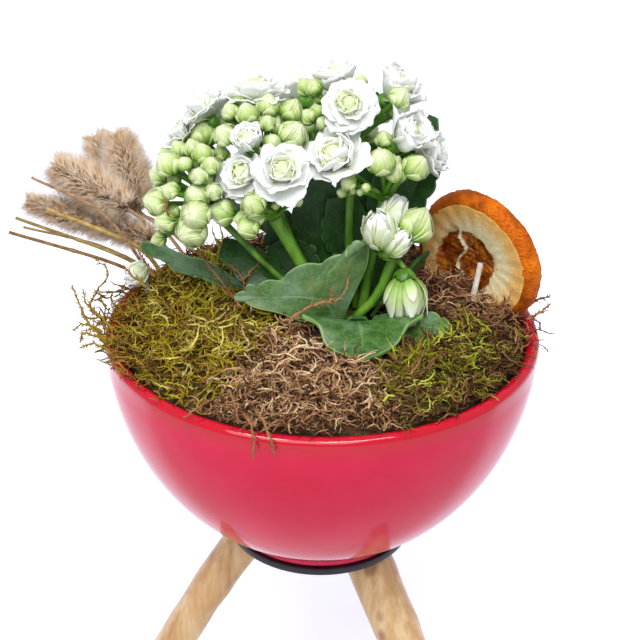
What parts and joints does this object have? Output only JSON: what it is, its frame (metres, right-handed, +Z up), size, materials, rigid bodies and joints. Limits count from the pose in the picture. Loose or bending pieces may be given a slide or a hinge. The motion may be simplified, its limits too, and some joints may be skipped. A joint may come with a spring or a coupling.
{
  "type": "potted kalanchoe",
  "caption": "Double-flowered kalanchoe in a glossy red bowl on a dark plate with peeled wooden legs, dressed with moss, dried grasses and a dried orange slice.",
  "frame": {"origin": "on the floor, under the middle of the whole outline", "axes": "+Z up; +Y away from the viewer of the picture; +X to that viewer's right, where the dried orange slice stands"},
  "size_m": [0.1952, 0.1704, 0.3017],
  "materials": {
    "glaze": "red glaze, glossy",
    "plate": "black paint, matt",
    "leg_wood": "peeled branch, clear varnish",
    "stem": "fresh green stem, smooth",
    "bud": "pale lime bud, satin",
    "petal": "white petal, matt",
    "leaf": "fleshy leaf, satin",
    "grass_head": "fluffy dried grass head",
    "straw": "dry straw, satin",
    "rind": "dried orange rind and pith, matt",
    "soil": "loose dark peat",
    "moss_green": "matted moss, green",
    "moss_brown": "matted moss, tan",
    "moss_olive": "matted moss, olive",
    "moss_dark": "matted moss, brown"
  },
  "bodies": {
    "root": {"bowl": "glaze", "base_plate": "plate", "leg_left": "leg_wood", "leg_front": "leg_wood", "leg_back": "leg_wood", "crown": "stem", "spray_left": "bud", "spray_upper": "bud", "spray_front": "bud", "spray_top": "bud", "spray_right": "bud", "spray_low": "bud", "spray_back": "bud", "floret_left_1": "petal", "floret_left_2": "petal", "floret_upper_1": "petal", "floret_upper_2": "petal", "floret_upper_3": "petal", "floret_front_1": "petal", "floret_front_2": "petal", "floret_top_1": "petal", "floret_top_2": "petal", "floret_top_3": "petal", "floret_right_1": "petal", "floret_right_2": "petal", "floret_right_3": "petal", "floret_back_1": "petal", "floret_back_2": "petal", "floret_low": "petal", "floret_hanging": "petal", "floret_tucked": "petal", "leaf_front_left": "leaf", "leaf_front": "leaf", "leaf_right_low": "leaf", "leaf_left_low": "leaf", "leaf_left_mid": "leaf", "leaf_inner_left": "leaf", "leaf_inner": "leaf", "leaf_right_tall": "leaf", "leaf_right_mid": "leaf", "leaf_small": "leaf", "leaf_back_left": "leaf", "leaf_back": "leaf", "leaf_back_right": "leaf", "tail_right": "grass_head", "tail_back": "grass_head", "tail_upper": "grass_head", "tail_low": "grass_head", "straw_rust": "straw", "straw_gold": "straw", "straw_olive": "straw", "straw_brown": "straw", "straw_thin": "straw", "orange_slice": "rind", "soil": "soil", "moss_green": "moss_green", "moss_brown": "moss_brown", "moss_olive": "moss_olive", "moss_back": "moss_dark"}
  },
  "joints": []
}
